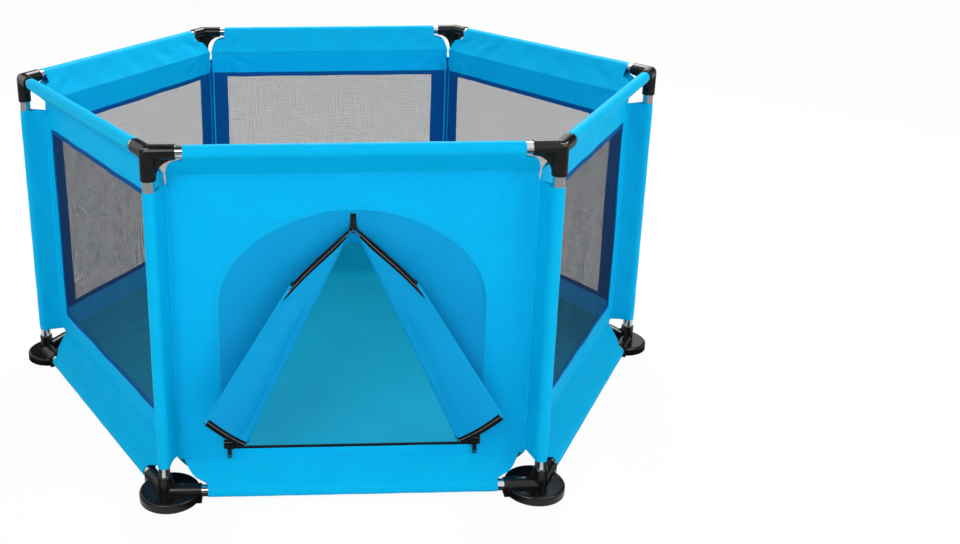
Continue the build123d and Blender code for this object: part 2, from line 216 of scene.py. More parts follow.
# %% Stage and lamps
bpy.ops.mesh.primitive_plane_add(size=40, location=(0, 0, -0.0005))
floor = bpy.context.object
floor.name = "studio_floor"
floor_finish, tree, shader = new_finish("white_paper_sweep")
connect(tree, shader, {"Base Color": linear("#F4F4F4"), "Roughness": 0.9})
plain_white = 0.94
rays = add(tree, "ShaderNodeLightPath").outputs
white = add(tree, "ShaderNodeEmission", {"Color": (1, 1, 1, 1), "Strength": 1.0})
share = reckon(tree, "MULTIPLY", rays["Is Camera Ray"], plain_white)
mixed = add(tree, "ShaderNodeMixShader", {0: share, 1: shader.outputs[0], 2: white.outputs[0]})
# Polished pieces mirror a floor with dark and bright bands, as under a photographer's black flags.
band_period = 0.22
place = add(tree, "ShaderNodeTexCoord").outputs["Object"]
bands = add(tree, "ShaderNodeTexWave", {"Vector": place, "Scale": wave_scale(band_period)})
glint = mapped(tree, bands.outputs["Fac"], 0.04, 0.8, (0.4, 0.7))
flags = add(tree, "ShaderNodeEmission", {"Color": (1, 1, 1, 1), "Strength": glint})
seen = add(tree, "ShaderNodeMixShader", {0: rays["Is Glossy Ray"], 1: mixed.outputs[0], 2: flags.outputs[0]})
connect(tree, tree.nodes["Material Output"], {"Surface": seen.outputs[0]})
floor.data.materials.append(floor_finish)

scene.world = bpy.data.worlds.new("soft_room")
scene.world.use_nodes = True
tree = scene.world.node_tree
room_light = 0.56
rays = add(tree, "ShaderNodeLightPath").outputs
direct = reckon(tree, "MAXIMUM", rays["Is Camera Ray"], rays["Is Transmission Ray"])
lit = mapped(tree, direct, room_light, 1.0)
# Polished pieces mirror upright bright and dark flats, which gives the chrome its stripes.
flat_turns = 7.0
way = add(tree, "ShaderNodeSeparateXYZ", {0: add(tree, "ShaderNodeTexCoord").outputs["Generated"]})
flats = reckon(tree, "SINE", reckon(tree, "MULTIPLY", way.outputs["X"], flat_turns))
mirrored_room = mapped(tree, flats, 0.06, 1.0, (-0.6, 0.6))
strength = add(tree, "ShaderNodeMix", {"Factor": rays["Is Glossy Ray"], "A": lit, "B": mirrored_room})
connect(tree, tree.nodes["Background"], {"Color": (1, 1, 1, 1), "Strength": strength.outputs[0]})


def soft_lamp(name, place, aim, size, power):
    data = bpy.data.lights.new(name, "AREA")
    data.shape, data.size, data.energy = "DISK", size, power
    lamp = bpy.data.objects.new(name, data)
    scene.collection.objects.link(lamp)
    lamp.location = place
    lamp.rotation_euler = (Vector(aim) - Vector(place)).to_track_quat("-Z", "Y").to_euler()


soft_lamp("key_softbox", (-1.2, -2.8, 2.3), (0, 0, 0.3), 1.6, 40)
soft_lamp("fill_softbox", (2.4, -1.8, 2.2), (-0.2, 0.2, 0.3), 2.0, 34)
soft_lamp("rear_softbox", (0.3, 1.9, 2.6), (0, -0.3, 0), 1.8, 72)
scene.view_settings.view_transform = "Standard"

# %% [markdown]
# ## Black ABS and chromed tube
# Corners and feet are moulded ABS: a satin black skin with the fine grain of the tool. The tubes are chromed steel:
# a mirror with faint drawing marks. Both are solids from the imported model, so the grain reads Object coordinates.

# %% Finishes for the solids
def moulded_abs():
    # Satin skin: broad soft highlights, broken up by a grain drawn at 1.2 mm so that it shows.
    finish, tree, shader = new_finish("moulded_black_abs")
    place = add(tree, "ShaderNodeTexCoord").outputs["Object"]
    grain, handling = noise(tree, place, 1.2 * mm, 2.0), noise(tree, place, 40 * mm, 4.0)
    connect(tree, shader, {"Base Color": toned(tree, handling, "#060607", "#0E0E0F"), "Specular IOR Level": 0.4,
                           "Roughness": mapped(tree, handling, 0.16, 0.30),
                           "Normal": bumped(tree, grain, 0.12, 0.2 * mm)})
    return finish


def chromed_steel():
    # Mirror skin over drawn tube: bright, with slight clouding.
    finish, tree, shader = new_finish("chromed_drawn_steel")
    cloud = noise(tree, add(tree, "ShaderNodeTexCoord").outputs["Object"], 9 * mm, 3.0)
    connect(tree, shader, {"Base Color": linear("#D2D4D6"), "Metallic": 1.0,
                           "Roughness": mapped(tree, cloud, 0.05, 0.14)})
    return finish


def black_enamel():
    # Baked enamel on a die-cast slider: smooth and dark, with pin-head unevenness.
    finish, tree, shader = new_finish("baked_black_enamel")
    skin = noise(tree, add(tree, "ShaderNodeTexCoord").outputs["Object"], 1.5 * mm, 2.0)
    connect(tree, shader, {"Base Color": linear("#1B1B1D"), "Roughness": mapped(tree, skin, 0.18, 0.32),
                           "Normal": bumped(tree, skin, 0.15, 0.1 * mm)})
    return finish


solid_finishes = {"black_plastic": moulded_abs(), "chrome_tube": chromed_steel(), "zip_metal": black_enamel()}
for part in frame["record"]["subparts"]:
    if part["material_slot"] in solid_finishes:
        node = frame["nodes"][part["node"]]
        node.data.materials.clear()
        node.data.materials.append(solid_finishes[part["material_slot"]])
print("dressed solids with", sorted(solid_finishes))

# %% [markdown]
# ## Cloth, net and tape
# The bag is coated polyester: a flat plain weave with a thin film that gives it a soft sheen. Each sheet carries a
# map of its flat cut in metres, so threads follow the cloth round a sleeve or a fold. Threads are half a millimetre
# apart on the real cloth, and are drawn four times as coarse so that they show.

# %% Finishes for the soft goods
def woven(name, light, shade, thread, bump_strength, rough, sheen, through=0.0):
    # Coated plain weave: fine crossed threads, slow changes of tone, soft highlights, and light that shines through.
    finish, tree, shader = new_finish(name)
    flat = add(tree, "ShaderNodeUVMap", uv_map="flat").outputs[0]
    threads = [add(tree, "ShaderNodeTexWave", {"Vector": flat, "Scale": wave_scale(thread)}, bands_direction=way)
               for way in ("X", "Y")]
    weave = reckon(tree, "MULTIPLY", *(wave.outputs["Fac"] for wave in threads))
    drift = noise(tree, flat, 90 * mm, 3.0)
    connect(tree, shader, {
        "Base Color": toned(tree, drift, shade, light), "Specular IOR Level": 0.05,
        "Roughness": mapped(tree, weave, rough + 0.06, rough - 0.06),
        "Normal": bumped(tree, weave, bump_strength, 0.2 * mm),
        "Subsurface Weight": through, "Subsurface Radius": (1.0, 1.0, 1.0), "Subsurface Scale": 1.5 * mm,
        "Sheen Weight": sheen, "Sheen Roughness": 0.45, "Sheen Tint": linear(light)})
    return finish


bag_cloth = woven("coated_polyester_blue", "#00B6E8", "#00ACE0", 2 * mm, 0.16, 0.50, 0.08, 0.4)
door_cloth = woven("coated_polyester_door_blue", "#0A9ED4", "#0694CC", 2 * mm, 0.16, 0.46, 0.08, 0.25)
floor_cloth = woven("coated_polyester_floor_blue", "#009CC0", "#0094B6", 2 * mm, 0.2, 0.60, 0.05, 0.35)
# Navy binding tape. The same navy also stands as painted shade on the wide inside strips beside the windows and on the
# inner faces of the corner bars.
navy_binding_and_painted_shade = woven("woven_navy_binding_and_painted_shade", "#04569C", "#034A88", 1.6 * mm, 0.3, 0.55, 0.1)
net_yarn = woven("crossed_net_yarn", "#28333C", "#1E2932", 1.2 * mm, 0.2, 0.6, 0.05)
tape_weave = woven("woven_zip_tape_black", "#18181A", "#101012", 1.4 * mm, 0.5, 0.6, 0.05)
coil_nylon = woven("black_nylon_zip_coil", "#242022", "#1A1618", 1.0 * mm, 0.2, 0.32, 0.0)
cord_thread = woven("zip_cord_thread", "#A09A98", "#8C8684", 1.0 * mm, 0.3, 0.5, 0.0)
thread_blue = woven("sewing_thread_blue", "#2CB6F0", "#1CAAE6", 0.6 * mm, 0.4, 0.45, 0.1)
print("cloths", [m.name for m in (bag_cloth, door_cloth, floor_cloth, navy_binding_and_painted_shade, net_yarn)])

# %% [markdown]
# ## Sewing tools
# A sheet is laid out as a grid of points on the flat cut, moved to where it hangs, and then given its thickness by a
# Solidify modifier. Keeping the flat place of each point gives the weave its map for free. So a sheet is handed on as
# its rows: points, faces and flat places.

# %% Sheets from grids
def grid_faces(rows, columns, closed=False):
    faces = []
    for i in range(rows - 1):
        for j in range(columns if closed else columns - 1):
            a, b = i * columns + j, i * columns + (j + 1) % columns
            faces.append((a, b, b + columns, a + columns))
    return faces


def run_lengths(points):
    """Length along a line of points, at each of them."""
    return np.concatenate([[0], np.cumsum(norm(np.diff(points, axis=0), axis=1))])


def at_lengths(points, places):
    """Points at some lengths along a line of points."""
    reach = run_lengths(points)
    return np.stack([np.interp(places, reach, points[:, k]) for k in range(points.shape[1])], axis=1)


def copies(faces, size, count):
    """Faces of copies of a pattern with size points."""
    return [tuple(i + k * size for i in f) for k in range(count) for f in faces]


def join_rows(several):
    faces, count = [], 0
    for points, more, _ in several:
        faces += [tuple(i + count for i in f) for f in more]
        count += len(points)
    return np.vstack([rows[0] for rows in several]), faces, np.vstack([rows[2] for rows in several])


def bevelled(offset):
    """Points and faces of the solid that was just added, with its edges bevelled. The solid itself is removed."""
    pattern = bpy.context.object
    bpy.ops.object.mode_set(mode="EDIT")
    bpy.ops.mesh.select_all(action="SELECT")
    bpy.ops.mesh.bevel(offset=offset, segments=1, affect="EDGES")
    bpy.ops.object.mode_set(mode="OBJECT")
    bpy.ops.object.transform_apply(location=True, rotation=True, scale=True)
    points = np.array([v.co for v in pattern.data.vertices])
    faces = [tuple(p.vertices) for p in pattern.data.polygons]
    bpy.data.objects.remove(pattern)
    return points, faces


def pick(piece):
    bpy.ops.object.select_all(action="DESELECT")
    piece.select_set(True)
    bpy.context.view_layer.objects.active = piece


def soften(piece):
    pick(piece)
    bpy.ops.object.shade_smooth_by_angle(angle=crease_angle)


crease_angle = radians(50)


def sew(name, rows, finish, slot, thick=None, body="pen"):
    points, faces, flat = rows
    mesh = bpy.data.meshes.new(name)
    mesh.from_pydata(points.tolist(), [], faces)
    layer = mesh.uv_layers.new(name="flat")
    corners = np.zeros(len(mesh.loops), int)
    mesh.loops.foreach_get("vertex_index", corners)
    layer.data.foreach_set("uv", flat[corners].ravel())
    piece = bpy.data.objects.new(name, mesh)
    scene.collection.objects.link(piece)
    mesh.materials.append(finish)
    if thick:
        pick(piece)
        layer = piece.modifiers.new("thickness", "SOLIDIFY")
        layer.thickness, layer.offset = thick, 0
        bpy.ops.object.modifier_apply(modifier=layer.name)
    soften(piece)
    if body:
        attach(piece, body)
    return piece


def spin(u, n, angle):
    return u * np.cos(angle) - n * np.sin(angle), u * np.sin(angle) + n * np.cos(angle)


def turned(rows, index):
    """Rows of the front side, turned about the pen's middle to another side."""
    x, y, z = rows[0].T
    return np.stack([*spin(x, y, radians(60 * index)), z], axis=1), rows[1], rows[2]


cloth = 0.9 * mm
print("cloth is", cloth / mm, "mm thick")

# %% [markdown]
# ## How the walls hang
# A wall is pulled between its sleeves and the posts, so it is almost flat. What shows is a slow swell between the
# seams and short pleats that fan out from the sewn corners. The same function moves wall, net and binding, so they
# stay together.

# %% Slack of a wall
def slack(x, z, index=0):
    """How far a wall swells inwards at a place: slow waves, and pleats below its top corners."""
    share = np.clip((z - bottom_seam) / (top_seam - bottom_seam), 0, 1)
    hold = np.sin(pi * share) ** 0.7 * np.clip((wall_half - abs(x)) / (40 * mm), 0, 1)
    swell = 1.3 * np.sin(34 * x + 7 * z + index) + 0.8 * np.sin(55 * x - 20 * z + 2 * index)
    pleat = 0
    for corner_x in (-top_sleeve_half, top_sleeve_half):
        dx, dz = x - corner_x, z - top_seam
        fan = np.exp(-(dx**2 + dz**2) / (80 * mm) ** 2)
        pleat = pleat + 1.6 * fan * np.sin(9 * np.arctan2(dz, dx) + index) * np.clip(-dz / (15 * mm), 0, 1)
    return mm * (hold * swell + pleat)


def wall_line(places, index, lift=0.0):
    """Points at (x, z) places on the front wall, lifted towards the outside."""
    x, z = places.T
    return np.stack([x, wall_y + slack(x, z, index) - lift, z], axis=1)


def arc_points(start, end, bow, count=7):
    """Places on a bowed line, without its end."""
    start, span = np.array(start), np.subtract(end, start)
    normal = np.array((-span[1], span[0])) / hypot(*span)
    steps = np.arange(count)[:, None] / count
    return list(start + steps * span + 4 * steps * (1 - steps) * bow * normal)


def wall_outline():
    """Outline of a wall between its seams, with cut corners."""
    top, low = top_sleeve_half + top_flare, bottom_sleeve_half + bottom_flare
    half, cut = wall_half, -1.5 * mm
    corners = [(-top, top_seam)]
    for ends in (((top, top_seam), (half, post_sleeve_high)), ((half, post_sleeve_low), (low, bottom_seam)),
                 ((-low, bottom_seam), (-half, post_sleeve_low)), ((-half, post_sleeve_high), (-top, top_seam))):
        corners += arc_points(*ends, cut) + [ends[1]]
    return np.array(corners[:-1])


def ray_lengths(outline, centre, angles):
    """Distance from a centre to an outline, in each direction."""
    near = outline - centre
    edge = np.roll(near, -1, axis=0) - near
    dx, dz = np.cos(angles)[:, None], np.sin(angles)[:, None]
    with np.errstate(divide="ignore", invalid="ignore"):
        share = -(near[:, 0] * dz - near[:, 1] * dx) / (edge[:, 0] * dz - edge[:, 1] * dx)
        reach = (near[:, 0] + share * edge[:, 0]) * dx + (near[:, 1] + share * edge[:, 1]) * dz
        hit = (share > -1e-6) & (share < 1 + 1e-6) & (reach > 0)
    return np.where(hit, reach, np.inf).min(axis=1)


def ring(opening, outline, centre, turns=420, steps=14):
    """Grid of places between an opening and an outline, with the corners of both."""
    corners = np.vstack([opening, outline]) - centre
    angles = np.concatenate([np.linspace(-pi, pi, turns, endpoint=False), np.arctan2(corners[:, 1], corners[:, 0])])
    angles = np.unique(angles.round(6))
    inner, outer = ray_lengths(opening, centre, angles), ray_lengths(outline, centre, angles)
    share = np.linspace(0, 1, steps)[:, None]
    reach = inner + (outer - inner) * share
    return np.stack([centre[0] + reach * np.cos(angles), centre[1] + reach * np.sin(angles)], axis=-1)


print("slack in the middle of the front wall", round(float(slack(0, (bottom_seam + top_seam) / 2)) / mm, 2), "mm")

# %% [markdown]
# ## Sleeves
# Along a rail the cloth is folded back on itself and sewn, which makes a loop for the tube. Seen from the end it is
# a drop: tight over the tube and drawn in to the seam. Its two layers are slack, so they ripple.

# %% Loop of cloth round a tube
sleeve_gap, hem_wide, tight = 0.5 * mm, 9 * mm, 0.12


def loop_line(tube_at, seam_at, radius):
    """Points of the drop from the seam, round the tube and back, with how free the cloth is at each."""
    tube_at, seam_at = np.array(tube_at), np.array(seam_at)
    span = seam_at - tube_at
    base = atan2(span[1], span[0])
    lean = acos(radius / norm(span))
    angles = np.linspace(base - lean, base + lean - 2 * pi, 22)
    over = tube_at + radius * np.stack([np.cos(angles), np.sin(angles)], axis=1)
    gap = sleeve_gap * np.array((-span[1], span[0])) / norm(span)
    steps = np.linspace(0, 1, 9)[:, None]
    first = seam_at - gap + steps[:-1] * (over[0] - seam_at)
    last = over[-1] + steps[1:] * (seam_at + gap - over[-1])
    pull = np.sin(pi * steps[:, 0])
    free = np.concatenate([pull[:-1], np.full(len(over), tight), pull[1:]])
    line = np.vstack([first, over, last])
    step = np.gradient(line, axis=0)
    out = np.stack([step[:, 1], -step[:, 0]], axis=1) / norm(step, axis=1)[:, None]
    return line, out, free


def loop_sheet(tube_at, seam_at, half, phase, step=5 * mm, flare=0.0, bow=1.0):
    """Grid of the loop, drawn out along a length: (rows along, points round, 3) as length, across, up."""
    line, out, free = loop_line(tube_at, seam_at, tube_r + sleeve_gap + cloth / 2)
    along = np.linspace(-half, half, ceil(2 * half / step))
    round_share = np.linspace(0, 1, len(line))
    ripple = np.sin(along[:, None] * 62 + phase + 5 * round_share)
    ripple = ripple + 0.6 * np.sin(along[:, None] * 118 - 7 * round_share + 2 * phase)
    hem = 0.35 * mm * (abs(along) > half - hem_wide)
    lift = 1.1 * mm * free * ripple + 1.2 * mm * free + hem[:, None]
    place = line[None] + lift[..., None] * out[None]
    drop = abs(line[:, 1] - tube_at[1])
    wider = np.clip((drop - flare_start) / (drop.max() - flare_start + 1e-9), 0, 1) ** bow
    lengths = along[:, None] * (1 + flare / half * wider[None])
    grid = np.concatenate([lengths[..., None], place], axis=2)
    length = run_lengths(line)
    flat = np.stack(np.broadcast_arrays(lengths, length), axis=2)
    return grid, flat, length[-1]


def wall_sheet(opening, centre, index):
    """Rows of a wall with its two sleeves on the front side, and the height of its cut."""
    places = ring(opening, wall_outline(), centre)
    flat = places.reshape(-1, 2)
    several = [(wall_line(flat, index), grid_faces(*places.shape[:2], closed=True), flat)]
    cut = top_seam - bottom_seam
    for rail_z, seam_z, half, flare, bow in (
            (top_rail_z, top_seam, top_sleeve_half, top_flare, top_bow),
            (bottom_rail_z, bottom_seam, bottom_sleeve_half, bottom_flare, bottom_bow)):
        grid, flat, length = loop_sheet((rail_y, rail_z), (wall_y, seam_z), half, index + rail_z,
                                        flare=flare, bow=bow)
        several.append((grid.reshape(-1, 3), grid_faces(*grid.shape[:2]), flat.reshape(-1, 2) + (0, seam_z)))
        cut += length
    return join_rows(several), cut


print("sleeves", round(2 * top_sleeve_half, 3), "m long at the top and", round(2 * bottom_sleeve_half, 3), "m below")

# %% [markdown]
# ## Stitches
# Seams on such a bag are sewn with a long straight stitch. One stitch is modelled as a small lozenge, and copies of
# it are laid along each seam, just proud of the cloth.

# %% One stitch, laid along seams
bpy.ops.mesh.primitive_cylinder_add(vertices=5, radius=0.5, depth=1, rotation=(0, radians(90), 0))
stitch_points, stitch_faces = bevelled(0.16)


def stitch_row(points, normal, pitch=4.5 * mm, size=(3.2 * mm, 0.8 * mm, 0.6 * mm)):
    """Stitches along a line of points that stand up along normal."""
    places = np.arange(pitch, run_lengths(points)[-1] - pitch / 2, pitch)
    centre = at_lengths(points, places)
    along = at_lengths(points, places + pitch / 4) - centre
    along /= norm(along, axis=1)[:, None]
    beside = np.cross(normal, along)
    shape = stitch_points * size
    laid = (centre[:, None] + shape[None, :, :1] * along[:, None] + shape[None, :, 1:2] * beside[:, None]
            + shape[None, :, 2:] * normal)
    flat = np.repeat(np.stack([places, places * 0], axis=1), len(shape), axis=0)
    return laid.reshape(-1, 3), copies(stitch_faces, len(shape), len(places)), flat


stitch_in, stitch_end, seam_step = 3 * mm, 4 * mm, 8 * mm


def seam_rows(index):
    """Top and bottom seams of a wall, outside and inside."""
    rows = []
    for z, half in ((top_seam - stitch_in, top_sleeve_half + top_flare),
                    (bottom_seam + stitch_in, bottom_sleeve_half + bottom_flare)):
        half -= stitch_end
        line = np.linspace((-half, z), (half, z), ceil(2 * half / seam_step))
        for face, out in ((1, (0, -1, 0)), (-1, (0, 1, 0))):
            rows.append(stitch_row(wall_line(line, index, face * (cloth / 2 + 0.1 * mm)), out))
    return rows


print("stitch faces", len(stitch_faces))

# %% [markdown]
# ## Window walls
# Five walls have a net window. Cloth, net and a folded navy binding round the window are three pieces, as they are
# sewn. Outside, the binding is a narrow edge with mitred corners. Inside, it runs on into a wide navy strip beside the
# window, which is painted shade: there the posts and their sleeves keep out the light that shines through the single
# cloth. The net is two sets of crossed yarns, drawn coarser than the real knit. A point of the binding's section says
# in millimetres how far it lies beyond the window above and below, how far beside it, and how far outside the wall.

# %% Window walls, bindings and nets
binding_section = [(-4, -4, 0), (-3.6, -3.6, 1.0), (-2, -2, 1.3), (4, 4, 1.3), (5.6, 5.6, 1.0), (6, 6, 0.2)]
# Inside the wall the section runs on up to 30 mm beside the window. That navy strip is painted shade, where the posts
# and their sleeves keep out the light that shines through the cloth.
painted_shade_width = 30
binding_section += [(6, x, -0.6) for x in range(6, painted_shade_width, 6)] + [(6.6, painted_shade_width, -0.8), (6, painted_shade_width - 1, -1.1)]
binding_section += [(6 - 8 * s, painted_shade_width * (1 - s) - 2 * s, -1.3) for s in np.linspace(0.05, 1, 7)]
binding_section += [(-3.6, -3.6, -1.0)]


def window_corners(grow, beside):
    """Outline of the window, grown above and below, and by another length beside it."""
    half = window_half + beside
    low, high = window_bottom - grow, window_top + grow
    return np.array([(-half, low), (half, low), (half, high), (-half, high)])


def band(lines, closed):
    """Band with one line of points for each point of its section. It runs round, or has an end face at each end."""
    rows = np.stack(lines, axis=1)
    count, wide = rows.shape[:2]
    faces = grid_faces(count, wide, closed=True)
    last = (count - 1) * wide
    if closed:
        faces += [(last + j, last + (j + 1) % wide, (j + 1) % wide, j) for j in range(wide)]
    else:
        faces += [tuple(range(wide))[::-1], tuple(range(last, count * wide))]
    flat = np.stack([np.repeat(run_lengths(rows[:, 0]), wide), np.tile(np.arange(wide) * 2 * mm, count)], axis=1)
    return rows.reshape(-1, 3), faces, flat


def binding_band(index):
    lines = []
    for grow, beside, lift in binding_section:
        corners = window_corners(grow * mm, beside * mm)
        line = np.linspace(corners, np.roll(corners, -1, axis=0), 40, endpoint=False, axis=1)
        lines.append(wall_line(line.reshape(-1, 2), index, lift * mm))
    return band(lines, True)


def net_sheet(index, pitch=1.6 * mm, yarn=0.58 * mm, steps=40):
    """Crossed yarns of a net: flat ribbons up and across the window, each a little uneven."""
    uneven = np.random.default_rng(index)
    several = []
    for upright, lift in ((True, 0.0), (False, 0.2 * mm)):
        ends = [(-window_half, window_half), (window_bottom, window_top)]
        (low, high), (start, end) = ends if upright else ends[::-1]
        at, run = np.arange(low + pitch / 2, high, pitch), np.linspace(start, end, steps)
        sway = 0.2 * mm * np.sin(40 * run + uneven.uniform(0, 2 * pi, (len(at), 1)))
        sides = (at[:, None] + sway)[..., None] + np.array((-yarn / 2, yarn / 2))
        along = np.broadcast_to(run[:, None], sides.shape)
        flat = np.stack([sides, along] if upright else [along, sides], axis=-1).reshape(-1, 2)
        several.append((wall_line(flat, index, -lift), copies(grid_faces(steps, 2), 2 * steps, len(at)), flat))
    return join_rows(several)


window_centre = (0, (window_bottom + window_top) / 2)
for index, name in enumerate(side_names):
    if name == "front":
        continue
    rows, cut = wall_sheet(window_corners(0, 0), window_centre, index)
    wall = sew(f"window_wall_cloth_{name}", turned(rows, index), bag_cloth, "blue_cloth", cloth)
    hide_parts(f"window_wall_{name}")
    binding = sew(f"window_binding_{name}", turned(binding_band(index), index), navy_binding_and_painted_shade, "blue_cloth")
    seams = sew(f"wall_stitches_{name}", turned(join_rows(seam_rows(index)), index), thread_blue, "blue_cloth")
    rows = net_sheet(index)
    net = sew(f"window_net_knit_{name}", turned(rows, index), net_yarn, "window_net")
    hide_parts(f"window_net_{name}")
print("window walls", len(side_names) - 1, "net faces each", len(rows[1]))

# %% [markdown]
# ## Door wall
# The front wall has an arched opening for the door. Round the arch the cloth is turned over into a flat hem, and the
# two side seams of the arch run on down to the bottom sleeve.

# %% Door wall and arch hem
surround_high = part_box("door_surround")[1]
door_half = surround_high.x + edge_gap
door_top = surround_high.z + edge_gap
crown_radius, shoulder_radius = 262 * mm, 140 * mm
sill_z = 81 * mm
door_base = sill_z - 4.8 * mm


def arch(grow, base, count=26):
    """Outline of the door from its right foot over the top to its left foot."""
    shoulder_x = door_half - shoulder_radius
    crown_z = door_top - crown_radius
    shoulder_z = crown_z + sqrt((crown_radius - shoulder_radius) ** 2 - shoulder_x**2)
    lean = asin(shoulder_x / (crown_radius - shoulder_radius))
    turns = np.linspace(0, pi / 2 - lean, count)
    radius = shoulder_radius + grow
    shoulder = np.stack([shoulder_x + radius * np.cos(turns), shoulder_z + radius * np.sin(turns)], axis=1)
    turns = np.linspace(lean, -lean, count)[1:-1]
    radius = crown_radius + grow
    crown = np.stack([radius * np.sin(turns), crown_z + radius * np.cos(turns)], axis=1)
    foot = np.linspace((door_half + grow, base), (door_half + grow, shoulder_z), count)[:-1]
    half = np.vstack([foot, shoulder])
    return np.vstack([half, crown, half[::-1] * (-1, 1)])


door_middle = (0, 0.28)
rows, cut = wall_sheet(arch(0, door_base), door_middle, 0)
door_wall = sew("door_wall_cloth", rows, bag_cloth, "blue_cloth", cloth)
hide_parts("door_wall")
hem_section = [(-1.5, 0), (-1.2, 0.9), (0, 1.2), (7.5, 1.2), (8.5, 0.8), (8.8, 0)]
hem_section += [(8.5, -0.8), (7.5, -1.2), (0, -1.2), (-1.2, -0.9)]
hem_base = bottom_seam + 6 * mm
rows = band([wall_line(arch(grow * mm, hem_base), 0, lift * mm) for grow, lift in hem_section], False)
arch_hem = sew("arch_hem", rows, bag_cloth, "blue_cloth")
several = seam_rows(0)
for grow in (1.2, 6.8):
    several.append(stitch_row(wall_line(arch(grow * mm, hem_base), 0, 1.3 * mm), (0, -1, 0)))
door_seams = sew("door_wall_stitches", join_rows(several), thread_blue, "blue_cloth")
print("door arch", round(2 * door_half, 3), "wide, top at", round(door_top, 3))

# %% [markdown]
# ## Post sleeves
# Each post has its own sleeve, a loop like those on the rails, sewn to the corner of the bag. A bar of folded cloth
# covers the seam. It is blue outside. Inside it is navy as painted shade, where the post and its sleeve keep the light
# from shining through, next to the navy strips beside the windows.

# %% Post sleeves
corner_names = ["front_left", "front_right", "right", "rear_right", "rear_left", "left"]
sleeve_reach = side - bag_corner - 1.5 * mm
corner_section = [(-2.6, -2.6), (-3.4, 0), (-2.6, 2.6), (0, 4.6), (2.4, 4.6), (3, 0), (2.4, -4.6), (0, -4.6)]
# Faces of the bar's section that look into the pen: these get the navy painted shade.
painted_shade_faces = (4, 5)
rise = np.linspace(post_sleeve_low + 1 * mm, post_sleeve_high - 1 * mm, 60)
still = np.zeros(len(rise))
half = (post_sleeve_high - post_sleeve_low) / 2
for index, name in enumerate(corner_names):
    grid, flat, length = loop_sheet((0, 0), (sleeve_reach, 0), half, 1.7 * index, 6 * mm)
    along, inward, across = grid[..., 0].ravel(), grid[..., 1].ravel(), grid[..., 2].ravel()
    points = np.stack([-side + inward, -across, along + post_sleeve_low + half], axis=1)
    rows = turned((points, grid_faces(*grid.shape[:2]), flat.reshape(-1, 2)), index + 1)
    sleeve = sew(f"post_sleeve_{name}", rows, bag_cloth, "blue_cloth", cloth)
    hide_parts("post_sleeves")
    lines = [np.stack([still - bag_corner + r * mm, still + t * mm, rise], axis=1) for r, t in corner_section]
    rows = turned(band(lines, False), index + 1)
    binding = sew(f"corner_binding_{name}", rows, bag_cloth, "blue_cloth")
    # The navy on the inner faces is painted shade. The outer faces keep the blue cloth.
    binding.data.materials.append(navy_binding_and_painted_shade)
    around = np.arange(len(rows[1])) % len(corner_section)
    binding.data.polygons.foreach_set("material_index", np.isin(around, painted_shade_faces).astype(int))
print("post sleeves", len(corner_names))

# %% [markdown]
# ## Floor
# The floor is a hexagon of cloth that lies on the ground and turns up to the walls' bottom seams, with low ripples
# where it isn't pulled flat. It is laid out in rings, so that the turned-up edge follows the walls.

# %% Floor cloth
rim = -wall_y - 1.5 * mm
flat_reach = rim - 48 * mm
floor_z, middle_z, calm_wide = 1.3 * mm, 2.4 * mm, 60 * mm


def floor_sheet(spokes=192, rings=64):
    turns = np.linspace(0, 2 * pi, spokes, endpoint=False)
    stretch = 1 / np.cos(turns % (pi / 3) - pi / 6)
    reach = np.linspace(12 * mm, rim, rings)[:, None]
    x, y = reach * stretch * np.cos(turns), reach * stretch * np.sin(turns)
    rise = np.clip((reach - flat_reach) / (rim - flat_reach), 0, 1)
    calm = 1 - np.clip((reach - flat_reach + calm_wide) / calm_wide, 0, 1)
    ripple = 0.5 + 0.5 * np.sin(21 * x + 9 * y) * np.sin(13 * y - 5 * x + 1)
    z = floor_z + 2.2 * mm * ripple * calm + (bottom_seam - floor_z) * rise**1.25
    points = np.vstack([np.stack([x, y, z], axis=-1).reshape(-1, 3), [(0, 0, middle_z)]])
    faces = grid_faces(rings, spokes, closed=True)
    faces += [(len(points) - 1, (j + 1) % spokes, j)[::-1] for j in range(spokes)]
    return points, faces, points[:, :2]


floor_piece = sew("floor_cloth", floor_sheet(), floor_cloth, "floor_cloth", cloth)
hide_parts("floor_sheet")
print("floor cloth", round(2 * rim, 3), "m across")

# %% [markdown]
# ## Door folds
# The door is one piece of cloth, split by an upright zip and cut loose along the sill. Open, each half is rolled out
# about a fold from the top of the zip to the sill, and its corner is tucked under about a second fold. Each half is
# laid out flat, as when the door is zipped, and then turned about its fold by an angle that grows across the cloth.

# %% Fold lines
zip_top = np.array((0.0, 496 * mm))
fold_foot = np.array((-190 * mm, sill_z))
tip_head = np.array((0.0, 356 * mm))
tip_foot = np.array((-78 * mm, sill_z))
fold_joint = next(j for j in frame["joints"] if j["name"] == "left_flap_fold")
couplings = frame["record"]["behaviour"]["couplings"]
open_angle = radians(fold_joint["range_deg"][1])
tuck_angle = open_angle * next(c["ratio"] for c in couplings if c["joint"] == "left_tip_fold")
axis_y = fold_joint["pos_m"][1]
axis_lift = wall_y - axis_y
roll_reach = 18 * mm
roll_lean = radians(73)
join_reach = 55 * mm


def unit(v):
    return v / norm(v)


def across(direction):
    """In-plane direction from a fold towards the zip's foot."""
    return np.array((-direction[1], direction[0]))


fold_down, tip_down = unit(fold_foot - zip_top), unit(tip_foot - tip_head)
fold_over, tip_over = across(fold_down), across(tip_down)


def smooth(t):
    t = np.clip(t, 0, 1)
    return t * t * (3 - 2 * t)


def turn_about(points, head, down, angle):
    """Closed points turned out about a fold line, from the wall towards the front."""
    over = across(down)
    rel = points[:, [0, 2]] - head
    u, n = spin(rel @ over, axis_y - points[:, 1], angle)
    plane = head + (rel @ down)[:, None] * down + u[:, None] * over
    return np.stack([plane[:, 0], axis_y - n, plane[:, 1]], axis=1)


